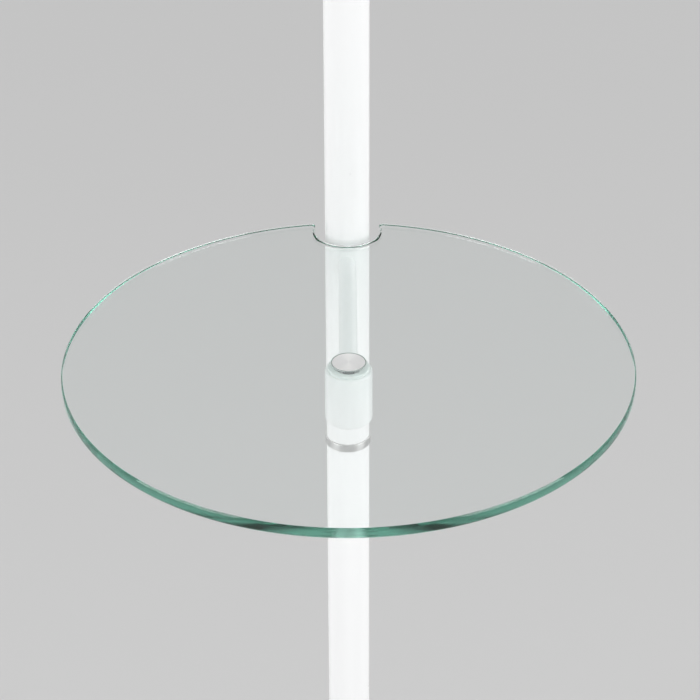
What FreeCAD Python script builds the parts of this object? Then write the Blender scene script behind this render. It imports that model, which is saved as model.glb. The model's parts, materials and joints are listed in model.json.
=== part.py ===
import FreeCAD, Part
import math
import os

# Floor lamp with a glass table. Millimetres, +Z up, origin on the floor on the pole's axis.
# The table reaches out towards -Y, and the cord inlet is at the rear, towards +Y.

# Clearances
seat_gap = 0.3            # between a piece and a curved or loose seat
fit_gap = 0.1             # round a piece that is pushed or screwed into another
run_gap = 0.08            # round the switch stem, which turns

# Base
base_diameter = 280.0
felt_thickness = 2.0
weight_height = 15.0      # at the rim of the cast weight
base_rise = 3.0           # height that the base gains from its rim to its crown
crown_radius = 32.0       # flat top in the middle of the base
cover_wall = 1.2
cover_edge_radius = 6.0   # rolled shoulder of the pressed cover
cover_inner_bevel = 3.6   # inside of the same shoulder
cover_lift = 0.8          # cover rim above the floor
nut_recess_radius = 16.0
nut_recess_depth = 8.0
base_washer_radius = 12.0
base_washer_thickness = 1.5
base_nut_flats = 17.0
base_nut_height = 4.0
foot_pipe_below_nut = 1.0
inlet_height = 7.2        # cord inlet axis above the floor
inlet_bore = 5.8
inlet_neck_radius = 3.9
inlet_flange_radius = 5.2
inlet_flange = 1.8        # thickness of each flange of the inlet bush
cord_channel_width = 10.0

# Pole of three tubes
tube_diameter = 25.2
tube_wall = 1.2
lower_tube_length = 400.0
middle_tube_length = 440.0
upper_tube_length = 400.0
joint_ring_height = 4.6
joint_ring_proud = 0.8    # ring radius beyond the tube
joint_ring_bevel = 0.7
bush_length = 14.0
nipple_radius = 5.0       # hollow threaded pipe that joins the tubes
nipple_bore = 3.4
nipple_engagement = 12.0  # length of thread inside a bush
collar_radius = 21.0
collar_height = 11.0
collar_lip = 2.0          # width of the collar's top edge
collar_foot = 3.0         # height of the collar's straight foot

# Table
table_above_ring = 142.2  # glass top above the top face of the lower joint ring
table_reach = 141.6       # pole axis to the centre of the glass
glass_diameter = 300.0
glass_thickness = 6.0
glass_arris = 0.9         # polished bevel on the edge of the glass
notch_radius = 18.7       # round notch in the glass, about the pole
notch_corner = 2.2
glass_pad_thickness = 1.7
glass_pad_radius = 11.0
post_diameter = 25.0
post_height = 30.3
post_round = 1.2          # rounded top edge under the glass
post_bevel = 1.2
arm_diameter = 10.0
arm_drop = 20.0           # arm axis below the glass top
spigot_radius = 3.0       # thread on each end of the arm
spigot_depth_post = 7.5   # spigot length inside the post
arm_block_height = 18.0
arm_block_back = 3.0      # the block stops this far behind the pole's axis
cap_diameter = 17.4
cap_land = 0.6            # straight edge of the cap's head
cap_head_depth = 1.4
cap_neck_radius = 5.2
cap_face = 1.8            # metal left above the cap's threaded hole
liner_thickness = 0.35
stud_radius = 2.9
stud_depth = 16.0         # stud length inside the post

# Lampholder
holder_radius = 20.0
holder_wall = 2.0
holder_floor = 3.0
holder_neck = 2.0         # straight foot of the holder's cap
holder_flare = 16.0       # height at which the cap reaches its full width
holder_flare_inside = 17.0
holder_cap_height = 34.0
locknut_flats = 14.0
locknut_height = 3.5
nipple_above_floor = 5.0
holder_body_radius = 19.5
holder_body_height = 38.0
holder_flange_radius = 22.0
holder_flange = 2.5
holder_shelf_bore = 12.0
holder_shelf = 2.0
insert_height = 10.0
shell_radius = 13.4       # inside of the brass screw shell
shell_wall = 0.4
shell_height = 24.0
contact_width = 5.0
contact_thickness = 0.6
contact_rise = 3.4
contact_reach = 9.0
clamp_ring_width = 5.4
clamp_ring_height = 7.0
clamp_ring_notches = 8
clamp_notch_radius = 1.3

# Rotary switch
switch_height = 25.0      # switch axis above the top of the pole
switch_block_radius = 7.5
switch_block_back = 6.0   # the block reaches this far past the holder's axis
switch_neck_radius = 4.0
switch_neck_out = 4.0     # threaded neck outside the holder
switch_nut_flats = 11.0
switch_nut_thickness = 2.5
stem_radius = 2.5
knob_radius = 7.0
knob_length = 12.0
knob_end = 2.5            # knob material past the end of the stem
knob_bevel = 1.2
knob_flutes = 12
knob_flute_radius = 0.9

# Bulb
bulb_tip_radius = 4.5
bulb_tip_height = 1.5
bulb_insulator_height = 3.5
bulb_cap_radius = 13.1
bulb_cap_height = 21.5
bulb_neck_radius = 14.5
bulb_housing_height = 34.0
bulb_housing_radius = 27.0
bulb_housing_bend = 13.1  # height of the collar's middle, where it bends outwards
bulb_housing_waist = 19.55  # its radius there
bulb_radius = 30.0
bulb_wall = 1.2

# Shade
shade_bottom_diameter = 400.0
shade_top_diameter = 360.0
shade_height = 240.0
shade_thickness = 1.0
shade_drop = 25.0         # shade's lower edge below its carrier ring
wire_radius = 1.8         # wire rings at both edges
wire_sides = 6
spider_ring_radius = 28.0
spider_ring_thickness = 1.2
spider_wire_radius = 1.5
spider_arms = 3
hem_height = 9.0
hem_thickness = 0.6

# Levels and radii that follow from the sizes above
pole_radius = tube_diameter / 2
tube_bore = pole_radius - tube_wall
bush_radius = tube_bore - fit_gap
thread_bore = nipple_radius + fit_gap
base_radius = base_diameter / 2
weight_radius = base_radius - cover_wall - seat_gap
weight_rim_top = felt_thickness + weight_height
weight_crown = weight_rim_top + base_rise
cover_rim_top = weight_rim_top + seat_gap + cover_wall
foot_level = cover_rim_top + base_rise
lower_ring_level = foot_level + lower_tube_length
middle_level = lower_ring_level + joint_ring_height
upper_ring_level = middle_level + middle_tube_length
upper_level = upper_ring_level + joint_ring_height
pole_top = upper_level + upper_tube_length
joint_ring_radius = pole_radius + joint_ring_proud
recess_top = felt_thickness + nut_recess_depth

glass_top = middle_level + table_above_ring
glass_bottom = glass_top - glass_thickness
post_top = glass_bottom - glass_pad_thickness
post_bottom = post_top - post_height
post_radius = post_diameter / 2
glass_radius = glass_diameter / 2
arm_radius = arm_diameter / 2
arm_level = glass_top - arm_drop
table_y = -table_reach
cap_radius = cap_diameter / 2
cap_neck_bottom = glass_bottom
stud_bore = stud_radius + fit_gap

cap_wall_top = pole_top + holder_cap_height
shade_seat = cap_wall_top + holder_flange
shelf_top = cap_wall_top + holder_shelf
insert_top = shelf_top + insert_height
clamp_level = shade_seat + spider_ring_thickness
switch_level = pole_top + switch_height
neck_end = holder_radius + switch_neck_out
knob_start = neck_end + seat_gap
stem_end = knob_start + knob_length - knob_end
contact_top = insert_top + contact_rise + contact_thickness
bulb_cap_level = contact_top + seat_gap + bulb_tip_height + bulb_insulator_height
bulb_housing_level = bulb_cap_level + bulb_cap_height
bulb_globe_level = bulb_housing_level + bulb_housing_height
shade_bottom = shade_seat - shade_drop
shade_top = shade_bottom + shade_height
lower_wire_level = shade_bottom + wire_radius
upper_wire_level = shade_top - wire_radius

flat_tolerance = 1e-6     # an edge lower than this is level

up = FreeCAD.Vector(0, 0, 1)
right = FreeCAD.Vector(1, 0, 0)
front = FreeCAD.Vector(0, -1, 0)
back = FreeCAD.Vector(0, 1, 0)


def save(name, shape):
    shape.exportStep("parts/" + name + ".step")


def rod(radius, start, direction, length):
    return Part.makeCylinder(radius, length, FreeCAD.Vector(*start), direction)


def pipe(outer, inner, level, height, y=0.0):
    return rod(outer, (0, y, level), up, height).cut(rod(inner, (0, y, level), up, height))


def turned(outline, y=0.0):
    # A closed outline turned about the vertical line x = 0 at y. Each corner is (radius, height)
    # or (radius, height, rounding), and a rounding puts a tangent arc in that corner.
    corners = [FreeCAD.Vector(corner[0], y, corner[1]) for corner in outline]
    roundings = [corner[2] if len(corner) > 2 else 0 for corner in outline]
    entries = []
    exits = []
    edges = []
    for number, corner in enumerate(corners):
        back = (corners[number - 1] - corner).normalize()
        onward = (corners[(number + 1) % len(corners)] - corner).normalize()
        rounding = roundings[number]
        if rounding == 0:
            entries.append(corner)
            exits.append(corner)
            continue
        half_angle = back.getAngle(onward) / 2
        tangent = rounding / math.tan(half_angle)
        middle = (back + onward).normalize() * (rounding / math.sin(half_angle) - rounding)
        entries.append(corner + back * tangent)
        exits.append(corner + onward * tangent)
        edges.append(Part.Arc(entries[-1], corner + middle, exits[-1]).toShape())
    for number, start in enumerate(exits):
        end = entries[(number + 1) % len(corners)]
        edges.append(Part.LineSegment(start, end).toShape())
    wire = Part.Wire(Part.__sortEdges__(edges))
    return Part.Face(wire).revolve(FreeCAD.Vector(0, y, 0), up, 360)


def hexagon(flats, level, height):
    corner = flats / math.sqrt(3)
    angles = [math.radians(60 * side) for side in range(7)]
    points = [FreeCAD.Vector(corner * math.cos(a), corner * math.sin(a), level) for a in angles]
    return Part.Face(Part.makePolygon(points)).extrude(FreeCAD.Vector(0, 0, height))


# Base: a felt pad, a cast weight and a pressed cover, held by one nut on the pole's foot pipe

def make_base_felt():
    radius = weight_radius - cover_wall
    return rod(radius, (0, 0, 0), up, felt_thickness)


def make_base_weight():
    # The bevel at the rim keeps the casting clear of the cover's rolled shoulder.
    weight = turned([
        (thread_bore, felt_thickness),
        (weight_radius, felt_thickness),
        (weight_radius, weight_rim_top - cover_edge_radius),
        (weight_radius - cover_edge_radius, weight_rim_top),
        (crown_radius, weight_crown),
        (thread_bore, weight_crown),
    ])
    recess = rod(nut_recess_radius, (0, 0, felt_thickness), up, nut_recess_depth)
    channel = Part.makeBox(
        cord_channel_width,
        base_radius,
        inlet_height + cord_channel_width / 2 - felt_thickness,
        FreeCAD.Vector(-cord_channel_width / 2, 0, felt_thickness),
    )
    # The bush in the cover reaches into a wider pocket at the rim.
    pocket = rod(
        inlet_flange_radius + seat_gap,
        (0, weight_radius - inlet_flange - seat_gap, inlet_height),
        back,
        inlet_flange + cover_wall,
    )
    return weight.cut([recess, channel, pocket])


def make_base_cover():
    outer = turned([
        (thread_bore, cover_lift),
        (base_radius, cover_lift),
        (base_radius, cover_rim_top, cover_edge_radius),
        (crown_radius, foot_level),
        (thread_bore, foot_level),
    ])
    inner_radius = base_radius - cover_wall
    inner_top = cover_rim_top - cover_wall
    inner = turned([
        (0, cover_lift),
        (inner_radius, cover_lift),
        (inner_radius, inner_top - cover_inner_bevel),
        (inner_radius - cover_inner_bevel, inner_top),
        (crown_radius, foot_level - cover_wall),
        (0, foot_level - cover_wall),
    ])
    start = inner_radius - cover_wall
    hole = rod(inlet_neck_radius + fit_gap, (0, start, inlet_height), back, base_radius - start)
    return outer.cut([inner, hole])


def make_cord_inlet():
    # A grommet: flange, neck and flange on one axis, with the cord's bore through it.
    inner_wall = base_radius - cover_wall - fit_gap
    outer_wall = base_radius + fit_gap
    start = inner_wall - inlet_flange
    length = outer_wall + inlet_flange - start
    neck = rod(inlet_neck_radius, (0, start, inlet_height), back, length)
    flanges = rod(inlet_flange_radius, (0, start, inlet_height), back, length)
    # The flanges follow both faces of the cover's round wall.
    wall = pipe(outer_wall, inner_wall, 0, foot_level)
    bore = rod(inlet_bore / 2, (0, start, inlet_height), back, length)
    return flanges.cut(wall).fuse(neck).removeSplitter().cut(bore)


def make_base_washer():
    level = recess_top - base_washer_thickness
    return pipe(base_washer_radius, thread_bore, level, base_washer_thickness)


def make_base_nut():
    level = recess_top - base_washer_thickness - base_nut_height
    nut = hexagon(base_nut_flats, level, base_nut_height)
    return nut.cut(rod(thread_bore, (0, 0, level), up, base_nut_height))


def make_base_nipple():
    bottom = recess_top - base_washer_thickness - base_nut_height - foot_pipe_below_nut
    return pipe(nipple_radius, nipple_bore, bottom, foot_level + nipple_engagement - bottom)


def make_foot_collar():
    bore = pole_radius + fit_gap
    return turned([
        (bore, foot_level),
        (collar_radius, foot_level),
        (collar_radius, foot_level + collar_foot),
        (bore + collar_lip, foot_level + collar_height),
        (bore, foot_level + collar_height),
    ])


# Pole: tubes with a bush in each end, joined by hollow threaded pipes through a metal ring

def make_tube(level, length):
    return pipe(pole_radius, tube_bore, level, length)


def make_middle_tube():
    tube = make_tube(middle_level, middle_tube_length)
    return tube.cut(rod(spigot_radius + fit_gap, (0, 0, arm_level), front, 2 * pole_radius))


def make_bush(level):
    return pipe(bush_radius, thread_bore, level, bush_length)


def make_joint_bushes(ring_level):
    below = make_bush(ring_level - bush_length)
    above = make_bush(ring_level + joint_ring_height)
    return Part.Compound([below, above])


def make_joint_nipple(ring_level):
    length = joint_ring_height + 2 * nipple_engagement
    return pipe(nipple_radius, nipple_bore, ring_level - nipple_engagement, length)


def make_joint_ring(level):
    top = level + joint_ring_height
    return turned([
        (thread_bore, level),
        (joint_ring_radius - joint_ring_bevel, level),
        (joint_ring_radius, level + joint_ring_bevel),
        (joint_ring_radius, top - joint_ring_bevel),
        (joint_ring_radius - joint_ring_bevel, top),
        (thread_bore, top),
    ])


# Table: an arm from the pole carries a post, and one countersunk cap holds the glass on it

def make_arm_block():
    # The block fills the front of the tube and leaves the rear free for the cord.
    bottom = arm_level - arm_block_height / 2
    block = rod(bush_radius, (0, 0, bottom), up, arm_block_height)
    rear = Part.makeBox(
        2 * tube_diameter,
        tube_diameter,
        arm_block_height,
        FreeCAD.Vector(-tube_diameter, arm_block_back, bottom),
    )
    thread = rod(spigot_radius + fit_gap, (0, 0, arm_level), front, tube_diameter)
    return block.cut([rear, thread])


def make_table_arm():
    # Both shoulders are hollowed to sit against the round pole and the round post.
    shaft = rod(arm_radius, (0, 0, arm_level), front, table_reach)
    shaft = shaft.cut([
        rod(pole_radius + fit_gap, (0, 0, post_bottom), up, glass_thickness + post_height + arm_drop),
        rod(post_radius + fit_gap, (0, table_y, post_bottom), up, glass_thickness + post_height + arm_drop),
    ])
    length = table_reach - post_radius + spigot_depth_post
    spigot = rod(spigot_radius, (0, 0, arm_level), front, length)
    return shaft.fuse(spigot).removeSplitter()


def make_support_post():
    post = turned([
        (0, post_bottom),
        (post_radius - post_bevel, post_bottom),
        (post_radius, post_bottom + post_bevel),
        (post_radius, post_top, post_round),
        (0, post_top),
    ], table_y)
    stud_hole = rod(stud_bore, (0, table_y, post_top - stud_depth - seat_gap), up, post_height)
    spigot_end = table_reach - post_radius + spigot_depth_post + seat_gap
    spigot_hole = rod(spigot_radius + fit_gap, (0, 0, arm_level), front, spigot_end)
    return post.cut([stud_hole, spigot_hole])


def make_glass_pad():
    return pipe(glass_pad_radius, stud_bore + fit_gap, post_top, glass_pad_thickness, table_y)


def cap_outline(offset):
    # Head and neck of the cap, widened by offset; the cone runs from the head to the neck.
    return [
        (cap_radius + offset, glass_top),
        (cap_radius + offset, glass_top - cap_land),
        (cap_neck_radius + offset, glass_top - cap_head_depth),
        (cap_neck_radius + offset, cap_neck_bottom),
    ]


def make_glass_table():
    disc = rod(glass_radius, (0, table_y, glass_bottom), up, glass_thickness)
    disc = disc.cut(rod(notch_radius, (0, 0, glass_bottom), up, glass_thickness))
    corners = [edge for edge in disc.Edges if is_notch_corner(edge)]
    disc = disc.makeFillet(notch_corner, corners)
    rims = [edge for edge in disc.Edges if is_glass_rim(edge)]
    disc = disc.makeChamfer(glass_arris, rims)
    around_liner = cap_outline(liner_thickness + 2 * fit_gap)
    hole = turned([(0, glass_top)] + around_liner + [(0, glass_bottom)], table_y)
    return disc.cut(hole)


def is_notch_corner(edge):
    return isinstance(edge.Curve, Part.Line) and abs(edge.Vertexes[0].X) > fit_gap


def is_glass_rim(edge):
    # The edges of the flat top and the flat underside, all round the rim and the notch.
    return edge.BoundBox.ZLength < flat_tolerance


def make_hole_liner():
    outer = cap_outline(liner_thickness + fit_gap)
    inner = cap_outline(fit_gap)
    return turned(outer + inner[::-1], table_y)


def make_table_cap():
    cap = turned([(0, glass_top)] + cap_outline(0) + [(0, cap_neck_bottom)], table_y)
    return cap.cut(rod(stud_bore, (0, table_y, cap_neck_bottom), up, glass_thickness - cap_face))


def make_cap_stud():
    bottom = post_top - stud_depth
    top = glass_top - cap_face - seat_gap
    return rod(stud_radius, (0, table_y, bottom), up, top - bottom)


# Lampholder with its rotary switch

def make_holder_nipple():
    bottom = pole_top - nipple_engagement
    return pipe(nipple_radius, nipple_bore, bottom, nipple_engagement + holder_floor + nipple_above_floor)


def make_holder_locknut():
    level = pole_top + holder_floor
    nut = hexagon(locknut_flats, level, locknut_height)
    return nut.cut(rod(thread_bore, (0, 0, level), up, locknut_height))


def make_holder_cap():
    inner = holder_radius - holder_wall
    cap = turned([
        (thread_bore, pole_top),
        (pole_radius, pole_top),
        (pole_radius, pole_top + holder_neck),
        (holder_radius, pole_top + holder_flare),
        (holder_radius, cap_wall_top),
        (inner, cap_wall_top),
        (inner, pole_top + holder_flare_inside),
        (pole_radius - holder_wall, pole_top + holder_floor),
        (thread_bore, pole_top + holder_floor),
    ])
    hole = rod(switch_neck_radius + fit_gap, (0, 0, switch_level), right, 2 * holder_radius)
    return cap.cut(hole)


def make_switch_block():
    inner = holder_radius - holder_wall
    # The block's flat end stops where its edge meets the round wall.
    face = math.sqrt(inner ** 2 - switch_block_radius ** 2) - seat_gap
    block = rod(
        switch_block_radius,
        (-switch_block_back, 0, switch_level),
        right,
        face + switch_block_back,
    )
    neck = rod(switch_neck_radius, (0, 0, switch_level), right, neck_end)
    bore = rod(stem_radius + run_gap, (0, 0, switch_level), right, 2 * neck_end)
    return block.fuse(neck).removeSplitter().cut(bore)


def make_switch_nut():
    nut = hexagon(switch_nut_flats, 0, switch_nut_thickness)
    nut = nut.cut(rod(switch_neck_radius + fit_gap, (0, 0, 0), up, switch_nut_thickness))
    nut.rotate(FreeCAD.Vector(0, 0, 0), FreeCAD.Vector(0, 1, 0), 90)
    nut.translate(FreeCAD.Vector(holder_radius + fit_gap, 0, switch_level))
    return nut


def make_switch_stem():
    start = seat_gap
    return rod(stem_radius, (start, 0, switch_level), right, stem_end - start)


def make_switch_knob():
    knob = turned([
        (0, 0),
        (knob_radius, 0),
        (knob_radius, knob_length - knob_bevel),
        (knob_radius - knob_bevel, knob_length),
        (0, knob_length),
    ])
    flutes = []
    for number in range(knob_flutes):
        angle = 2 * math.pi * number / knob_flutes
        centre = (knob_radius * math.cos(angle), knob_radius * math.sin(angle), 0)
        flutes.append(rod(knob_flute_radius, centre, up, knob_length))
    bore = rod(stem_radius + fit_gap / 2, (0, 0, 0), up, stem_end - knob_start + fit_gap)
    knob = knob.cut(flutes + [bore])
    knob.rotate(FreeCAD.Vector(0, 0, 0), FreeCAD.Vector(0, 1, 0), 90)
    knob.translate(FreeCAD.Vector(knob_start, 0, switch_level))
    return knob


def make_holder_body():
    inner = holder_body_radius - holder_wall
    top = cap_wall_top + holder_body_height
    return turned([
        (holder_shelf_bore, cap_wall_top),
        (holder_flange_radius, cap_wall_top),
        (holder_flange_radius, shade_seat),
        (holder_body_radius, shade_seat),
        (holder_body_radius, top),
        (inner, top),
        (inner, shelf_top),
        (holder_shelf_bore, shelf_top),
    ])


def make_holder_insert():
    radius = holder_body_radius - holder_wall - fit_gap
    return rod(radius, (0, 0, shelf_top), up, insert_height)


def make_screw_shell():
    return pipe(shell_radius + shell_wall, shell_radius, insert_top, shell_height)


def make_centre_contact():
    # A spring strip: a flat foot on the insert, a slope, and a flat end below the bulb's tip.
    half = contact_width / 2
    low = insert_top
    high = insert_top + contact_rise
    upper = [
        (-contact_reach, low),
        (-half, low),
        (-half / 2, high),
        (half, high),
    ]
    lower = [(x, z + contact_thickness) for x, z in upper]
    corners = [FreeCAD.Vector(x, -half, z) for x, z in upper + lower[::-1]]
    face = Part.Face(Part.makePolygon(corners + corners[:1]))
    return face.extrude(FreeCAD.Vector(0, contact_width, 0))


def make_clamp_ring():
    inner = holder_body_radius + fit_gap
    outer = inner + clamp_ring_width
    ring = pipe(outer, inner, clamp_level, clamp_ring_height)
    notches = []
    for number in range(clamp_ring_notches):
        angle = 2 * math.pi * number / clamp_ring_notches
        centre = (outer * math.cos(angle), outer * math.sin(angle), clamp_level)
        notches.append(rod(clamp_notch_radius, centre, up, clamp_ring_height))
    return ring.cut(notches)


# Bulb with a screw cap

def make_bulb_tip():
    level = contact_top + seat_gap
    return rod(bulb_tip_radius, (0, 0, level), up, bulb_tip_height)


def make_bulb_insulator():
    level = bulb_cap_level - bulb_insulator_height
    return Part.makeCone(
        bulb_tip_radius + bulb_wall,
        bulb_cap_radius - bulb_wall,
        bulb_insulator_height,
        FreeCAD.Vector(0, 0, level),
    )


def make_bulb_cap():
    return rod(bulb_cap_radius, (0, 0, bulb_cap_level), up, bulb_cap_height)


def make_bulb_housing():
    # The collar flares in one smooth curve from the cap to the globe.
    points = [
        FreeCAD.Vector(bulb_neck_radius, 0, bulb_housing_level),
        FreeCAD.Vector(bulb_housing_waist, 0, bulb_housing_level + bulb_housing_bend),
        FreeCAD.Vector(bulb_housing_radius, 0, bulb_globe_level),
    ]
    curve = Part.Arc(*points).toShape()
    bottom = FreeCAD.Vector(0, 0, bulb_housing_level)
    top = FreeCAD.Vector(0, 0, bulb_globe_level)
    rest = Part.makePolygon([points[2], top, bottom, points[0]])
    face = Part.Face(Part.Wire([curve] + rest.Edges))
    return face.revolve(FreeCAD.Vector(0, 0, 0), up, 360)


def make_bulb_globe():
    # A hollow ball cut off where it sits on the collar.
    centre_level = bulb_globe_level + math.sqrt(bulb_radius ** 2 - bulb_housing_radius ** 2)
    centre = FreeCAD.Vector(0, 0, centre_level)
    ball = Part.makeSphere(bulb_radius, centre)
    hollow = Part.makeSphere(bulb_radius - bulb_wall, centre)
    below = rod(2 * bulb_radius, (0, 0, bulb_globe_level - 2 * bulb_radius), up, 2 * bulb_radius)
    return ball.cut([hollow, below])


# Shade on its wire carrier

def shade_radius(level):
    share = (level - shade_bottom) / shade_height
    return (shade_bottom_diameter + share * (shade_top_diameter - shade_bottom_diameter)) / 2


def make_shade_fabric():
    return turned([
        (shade_radius(shade_bottom), shade_bottom),
        (shade_radius(shade_top), shade_top),
        (shade_radius(shade_top) - shade_thickness, shade_top),
        (shade_radius(shade_bottom) - shade_thickness, shade_bottom),
    ])


def wire_ring_radius(level):
    return shade_radius(level) - shade_thickness - seat_gap - wire_radius


def make_wire_ring(level):
    # The wire's round section is drawn with wire_sides sides.
    outline = []
    for side in range(wire_sides):
        angle = 2 * math.pi * (side + 0.5) / wire_sides
        radius = wire_ring_radius(level) + wire_radius * math.cos(angle)
        outline.append((radius, level + wire_radius * math.sin(angle)))
    return turned(outline)


def make_shade_spider():
    ring = pipe(spider_ring_radius, holder_body_radius + seat_gap, shade_seat, spider_ring_thickness)
    inner = spider_ring_radius - spider_wire_radius / 2
    inner_level = shade_seat + spider_ring_thickness / 2
    outer = wire_ring_radius(lower_wire_level)
    slope = math.hypot(outer - inner, lower_wire_level - inner_level)
    length = slope - wire_radius - fit_gap
    arms = []
    for number in range(spider_arms):
        angle = math.pi / 2 + 2 * math.pi * number / spider_arms
        reach = FreeCAD.Vector(
            (outer - inner) * math.cos(angle),
            (outer - inner) * math.sin(angle),
            lower_wire_level - inner_level,
        )
        start = (inner * math.cos(angle), inner * math.sin(angle), inner_level)
        arms.append(rod(spider_wire_radius, start, reach, length))
    return ring.fuse(arms).removeSplitter()


def make_hem(edge_level, inward):
    # A folded band: it lies on the outside of the shade and turns in over its edge.
    # inward is the direction from the edge into the shade's height: 1 at the bottom, -1 at the top.
    band_end = edge_level + inward * hem_height
    near = edge_level - inward * fit_gap
    far = edge_level - inward * (fit_gap + hem_thickness)
    inside = wire_ring_radius(edge_level)
    return turned([
        (shade_radius(band_end) + fit_gap, band_end),
        (shade_radius(band_end) + fit_gap + hem_thickness, band_end),
        (shade_radius(far) + fit_gap + hem_thickness, far),
        (inside, far),
        (inside, near),
        (shade_radius(near) + fit_gap, near),
    ])


os.makedirs("parts", exist_ok=True)

save("base_felt", make_base_felt())
save("base_weight", make_base_weight())
save("base_cover", make_base_cover())
save("cord_inlet", make_cord_inlet())
save("base_washer", make_base_washer())
save("base_nut", make_base_nut())
save("base_nipple", make_base_nipple())
save("foot_collar", make_foot_collar())

save("lower_tube", make_tube(foot_level, lower_tube_length))
save("middle_tube", make_middle_tube())
save("upper_tube", make_tube(upper_level, upper_tube_length))
save("foot_bush", make_bush(foot_level))
save("top_bush", make_bush(pole_top - bush_length))
for joint_name, ring_level in (("lower", lower_ring_level), ("upper", upper_ring_level)):
    save(joint_name + "_joint_bushes", make_joint_bushes(ring_level))
    save(joint_name + "_joint_nipple", make_joint_nipple(ring_level))
    save(joint_name + "_joint_ring", make_joint_ring(ring_level))

save("arm_block", make_arm_block())
save("table_arm", make_table_arm())
save("support_post", make_support_post())
save("glass_pad", make_glass_pad())
save("glass_table", make_glass_table())
save("hole_liner", make_hole_liner())
save("table_cap", make_table_cap())
save("cap_stud", make_cap_stud())

save("holder_nipple", make_holder_nipple())
save("holder_locknut", make_holder_locknut())
save("holder_cap", make_holder_cap())
save("switch_block", make_switch_block())
save("switch_nut", make_switch_nut())
save("switch_stem", make_switch_stem())
save("switch_knob", make_switch_knob())
save("holder_body", make_holder_body())
save("holder_insert", make_holder_insert())
save("screw_shell", make_screw_shell())
save("centre_contact", make_centre_contact())
save("clamp_ring", make_clamp_ring())

save("bulb_tip", make_bulb_tip())
save("bulb_insulator", make_bulb_insulator())
save("bulb_cap", make_bulb_cap())
save("bulb_housing", make_bulb_housing())
save("bulb_globe", make_bulb_globe())

save("shade_fabric", make_shade_fabric())
save("shade_lower_wire", make_wire_ring(lower_wire_level))
save("shade_upper_wire", make_wire_ring(upper_wire_level))
save("shade_spider", make_shade_spider())
save("shade_lower_hem", make_hem(shade_bottom, 1))
save("shade_upper_hem", make_hem(shade_top, -1))
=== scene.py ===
import json
import math
import bmesh
import bpy
from mathutils import Matrix, Vector


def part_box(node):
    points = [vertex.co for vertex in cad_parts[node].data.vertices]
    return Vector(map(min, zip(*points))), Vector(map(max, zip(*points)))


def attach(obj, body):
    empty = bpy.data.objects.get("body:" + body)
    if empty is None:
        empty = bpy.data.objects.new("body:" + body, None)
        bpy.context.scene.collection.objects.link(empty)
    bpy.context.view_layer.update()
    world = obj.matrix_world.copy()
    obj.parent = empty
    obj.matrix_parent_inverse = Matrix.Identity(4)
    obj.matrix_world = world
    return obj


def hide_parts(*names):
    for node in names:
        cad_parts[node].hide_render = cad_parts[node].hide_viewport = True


# Floor lamp with a glass table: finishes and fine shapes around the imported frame. Metres, +Z up.

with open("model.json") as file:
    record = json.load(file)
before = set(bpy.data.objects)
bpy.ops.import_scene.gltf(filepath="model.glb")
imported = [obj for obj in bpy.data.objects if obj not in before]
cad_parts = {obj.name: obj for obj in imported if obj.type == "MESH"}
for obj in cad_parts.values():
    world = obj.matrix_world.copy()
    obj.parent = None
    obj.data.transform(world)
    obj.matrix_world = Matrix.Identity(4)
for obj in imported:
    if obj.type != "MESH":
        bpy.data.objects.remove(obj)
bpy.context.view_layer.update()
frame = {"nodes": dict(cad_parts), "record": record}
nodes = frame["nodes"]
mm = 0.001
print("frame:", len(nodes), "nodes")


class Wire:
    # one output of a node tree; sums and products of wires add Math nodes
    def __init__(self, finish, socket):
        self.finish = finish
        self.socket = socket

    def maths(self, operation, first, second=None):
        values = {0: first} if second is None else {0: first, 1: second}
        return self.finish.node("ShaderNodeMath", {"operation": operation}, values)

    def __add__(self, other):
        return self.maths("ADD", self, other)

    def __radd__(self, other):
        return self.maths("ADD", other, self)

    def __sub__(self, other):
        return self.maths("SUBTRACT", self, other)

    def __rsub__(self, other):
        return self.maths("SUBTRACT", other, self)

    def __mul__(self, other):
        return self.maths("MULTIPLY", self, other)

    def __rmul__(self, other):
        return self.maths("MULTIPLY", other, self)

    def __pow__(self, other):
        return self.maths("POWER", self, other)

    def __rpow__(self, other):
        return self.maths("POWER", other, self)

    def sine(self):
        return self.maths("SINE", self)

    def angleTo(self, other):
        return self.maths("ARCTAN2", self, other)

    def size(self):
        return self.maths("ABSOLUTE", self)

    def atMost(self, other):
        return self.maths("MINIMUM", self, other)

    def atLeast(self, other):
        return self.maths("MAXIMUM", self, other)

    def __gt__(self, other):
        return self.maths("GREATER_THAN", self, other)

    def __lt__(self, other):
        return self.maths("LESS_THAN", self, other)


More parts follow.
